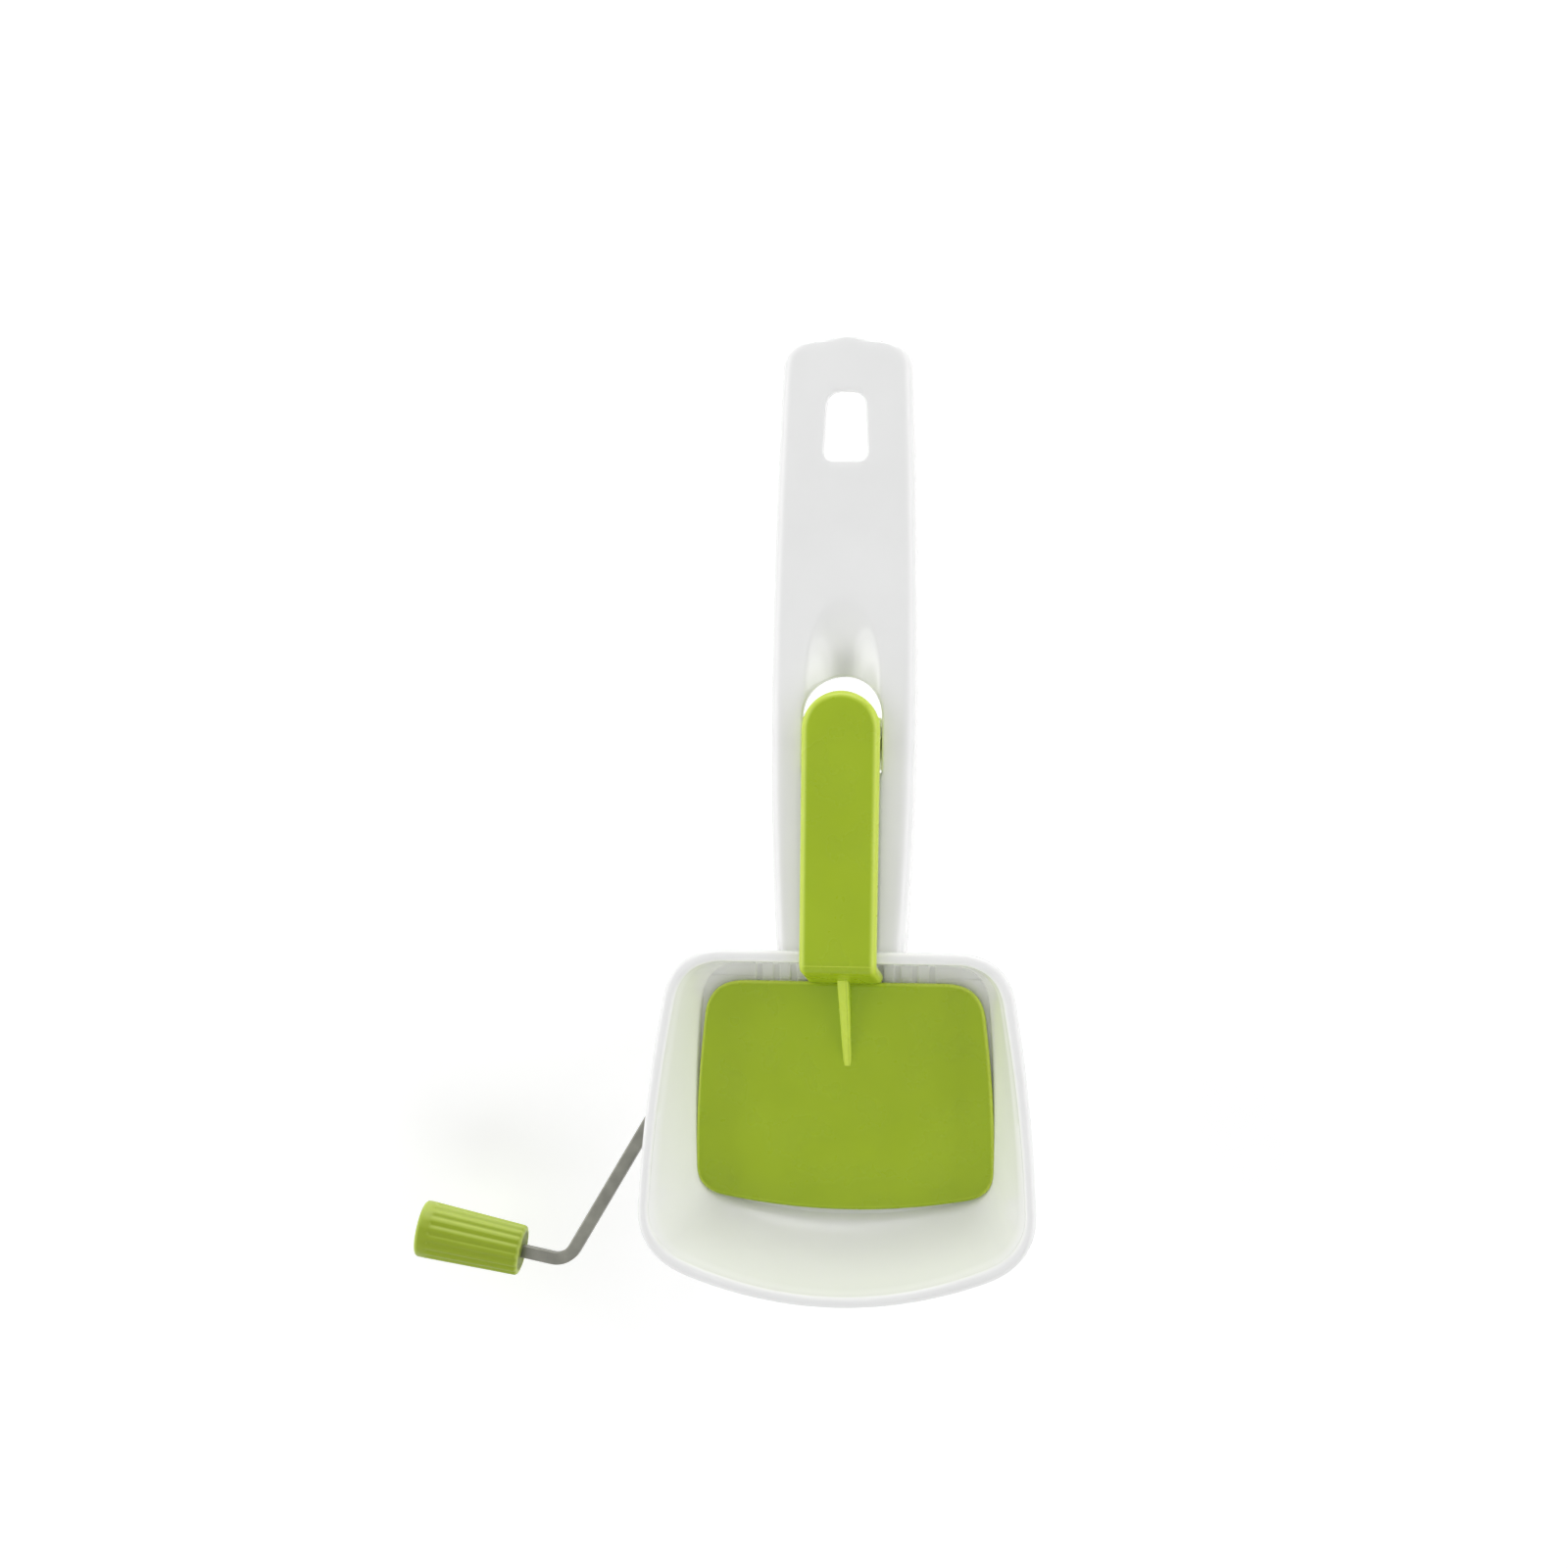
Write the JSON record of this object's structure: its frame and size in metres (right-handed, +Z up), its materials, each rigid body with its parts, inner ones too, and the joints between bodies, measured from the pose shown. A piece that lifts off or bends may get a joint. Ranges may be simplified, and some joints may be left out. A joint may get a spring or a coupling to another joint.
{
  "type": "herb mill",
  "caption": "Hand-crank herb mill: funnel hopper on a flat handle, hinged pusher plate, bent steel crank with a ribbed knob, and toothed disc blades in a slotted trough.",
  "frame": {"origin": "middle of the underside of the foot frame's back rail, on the body's plane of symmetry", "axes": "+X along the rotor away from the crank, +Y along the handle to its tip, +Z up out of the hopper"},
  "size_m": [0.1487, 0.2199, 0.0614],
  "materials": {
    "white_plastic": "gloss moulded white",
    "green_plastic": "satin moulded lime green",
    "bright_steel": "drawn and stamped stainless steel",
    "plain_steel": "plain turned steel"
  },
  "bodies": {
    "frame": {"body": "white_plastic", "hinge_pin": "bright_steel"},
    "pusher": {"pusher": "green_plastic"},
    "rotor": {"crank_bar": "bright_steel", "left_bush": "white_plastic", "right_bush": "white_plastic", "retaining_clip": "plain_steel", "blade_1": "bright_steel", "blade_2": "bright_steel", "blade_3": "bright_steel", "blade_4": "bright_steel", "blade_5": "bright_steel", "blade_6": "bright_steel", "blade_7": "bright_steel", "blade_8": "bright_steel", "blade_9": "bright_steel", "blade_10": "bright_steel", "blade_11": "bright_steel", "spacer_1": "plain_steel", "spacer_2": "plain_steel", "spacer_3": "plain_steel", "spacer_4": "plain_steel", "spacer_5": "plain_steel", "spacer_6": "plain_steel", "spacer_7": "plain_steel", "spacer_8": "plain_steel", "spacer_9": "plain_steel", "spacer_10": "plain_steel"},
    "knob": {"crank_knob": "green_plastic"}
  },
  "joints": [
    {"name": "pusher_hinge", "type": "hinge", "parent": "frame", "child": "pusher", "pos_m": [0, 0.058, 0.0536], "axis": [-1, 0, 0], "range_deg": [0, 95]},
    {"name": "rotor_spin", "type": "hinge", "parent": "frame", "child": "rotor", "pos_m": [0, -0.011, 0.0225], "axis": [1, 0, 0], "continuous": true},
    {"name": "knob_spin", "type": "hinge", "parent": "rotor", "child": "knob", "pos_m": [-0.0784, -0.06303, 0.0225], "axis": [-0.9816, 0.1908, 0], "continuous": true}
  ]
}
